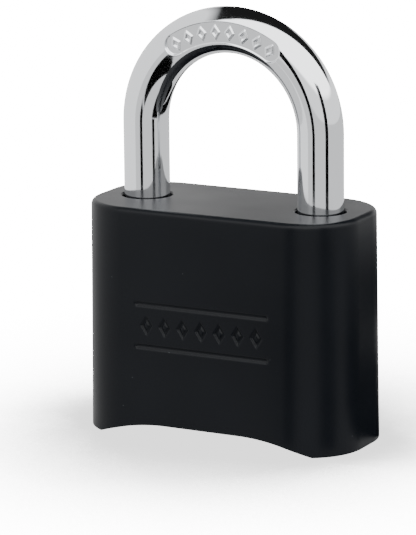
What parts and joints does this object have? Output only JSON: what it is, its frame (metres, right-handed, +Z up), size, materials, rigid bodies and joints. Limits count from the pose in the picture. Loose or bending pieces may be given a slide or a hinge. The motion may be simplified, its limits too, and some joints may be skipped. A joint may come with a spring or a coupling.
{
  "type": "combination padlock",
  "caption": "Black cast padlock with a plated round shackle and number dials set in its arched underside.",
  "frame": {"origin": "middle of the underside, on the plane of the two feet", "axes": "+X along the width towards the toe leg, +Y to the plain rear face, +Z up along the shackle legs"},
  "size_m": [0.0508, 0.025, 0.0738],
  "materials": {
    "case_black": "satin black powder paint on zinc die casting",
    "shackle_chrome": "polished and plated steel rod",
    "dial_brass": "turned brass with numbers sunk in the rim",
    "hub_brass": "turned brass",
    "zinc_casting": "raw zinc die casting",
    "plated_steel": "zinc-plated steel",
    "spring_steel": "bright drawn spring wire and strip"
  },
  "bodies": {
    "case": {"body_shell": "case_black", "base_plate": "case_black", "cover_pin_1": "plated_steel", "cover_pin_2": "plated_steel", "cover_pin_3": "plated_steel", "cover_pin_4": "plated_steel", "dial_frame": "zinc_casting", "spindle": "plated_steel", "spindle_clip": "spring_steel", "shackle_spring": "spring_steel", "slider_spring": "spring_steel", "detent_spring_1": "spring_steel", "detent_spring_2": "spring_steel", "detent_spring_3": "spring_steel", "detent_spring_4": "spring_steel"},
    "shackle_body": {"shackle": "shackle_chrome"},
    "fence": {"fence_plate": "plated_steel"},
    "change_cam_body": {"change_cam": "plated_steel", "cam_clip": "spring_steel"},
    "slider": {"change_slider": "plated_steel", "thrust_washer": "plated_steel"},
    "dial_body_1": {"dial_1": "dial_brass"},
    "hub_body_1": {"code_hub_1": "hub_brass"},
    "dial_body_2": {"dial_2": "dial_brass"},
    "hub_body_2": {"code_hub_2": "hub_brass"},
    "dial_body_3": {"dial_3": "dial_brass"},
    "hub_body_3": {"code_hub_3": "hub_brass"},
    "dial_body_4": {"dial_4": "dial_brass"},
    "hub_body_4": {"code_hub_4": "hub_brass"}
  },
  "joints": [
    {"name": "shackle_lift", "type": "slide", "parent": "case", "child": "shackle_body", "axis": [0, 0, 1], "range_m": [0, 0.011], "deforming": ["shackle_spring"]},
    {"name": "fence_rise", "type": "slide", "parent": "case", "child": "fence", "axis": [0, 0, 1], "range_m": [0, 0.011]},
    {"name": "dial_1_spin", "type": "hinge", "parent": "case", "child": "dial_body_1", "pos_m": [-0.0096, 0, 0.0106], "axis": [1, 0, 0], "continuous": true, "deforming": ["detent_spring_1"]},
    {"name": "dial_2_spin", "type": "hinge", "parent": "case", "child": "dial_body_2", "pos_m": [-0.0032, 0, 0.0106], "axis": [1, 0, 0], "continuous": true, "deforming": ["detent_spring_2"]},
    {"name": "dial_3_spin", "type": "hinge", "parent": "case", "child": "dial_body_3", "pos_m": [0.0032, 0, 0.0106], "axis": [1, 0, 0], "continuous": true, "deforming": ["detent_spring_3"]},
    {"name": "dial_4_spin", "type": "hinge", "parent": "case", "child": "dial_body_4", "pos_m": [0.0096, 0, 0.0106], "axis": [1, 0, 0], "continuous": true, "deforming": ["detent_spring_4"]},
    {"name": "change_slide", "type": "slide", "parent": "case", "child": "slider", "axis": [-1, 0, 0], "range_m": [0, 0.001], "deforming": ["slider_spring"]},
    {"name": "change_cam_turn", "type": "hinge", "parent": "case", "child": "change_cam_body", "pos_m": [0.01667, 0, 0.0106], "axis": [0, 0, 1], "range_deg": [0, 90]},
    {"name": "hub_1_spin", "type": "hinge", "parent": "slider", "child": "hub_body_1", "pos_m": [-0.0096, 0, 0.0106], "axis": [1, 0, 0], "continuous": true},
    {"name": "hub_2_spin", "type": "hinge", "parent": "slider", "child": "hub_body_2", "pos_m": [-0.0032, 0, 0.0106], "axis": [1, 0, 0], "continuous": true},
    {"name": "hub_3_spin", "type": "hinge", "parent": "slider", "child": "hub_body_3", "pos_m": [0.0032, 0, 0.0106], "axis": [1, 0, 0], "continuous": true},
    {"name": "hub_4_spin", "type": "hinge", "parent": "slider", "child": "hub_body_4", "pos_m": [0.0096, 0, 0.0106], "axis": [1, 0, 0], "continuous": true}
  ],
  "couplings": [
    {"joint": "fence_rise", "follows": "shackle_lift", "ratio": 1},
    {"joint": "hub_1_spin", "follows": "dial_1_spin", "ratio": 1},
    {"joint": "hub_2_spin", "follows": "dial_2_spin", "ratio": 1},
    {"joint": "hub_3_spin", "follows": "dial_3_spin", "ratio": 1},
    {"joint": "hub_4_spin", "follows": "dial_4_spin", "ratio": 1},
    {"joint": "change_cam_turn", "follows": "change_slide", "rad_per_m": 1570.8}
  ]
}
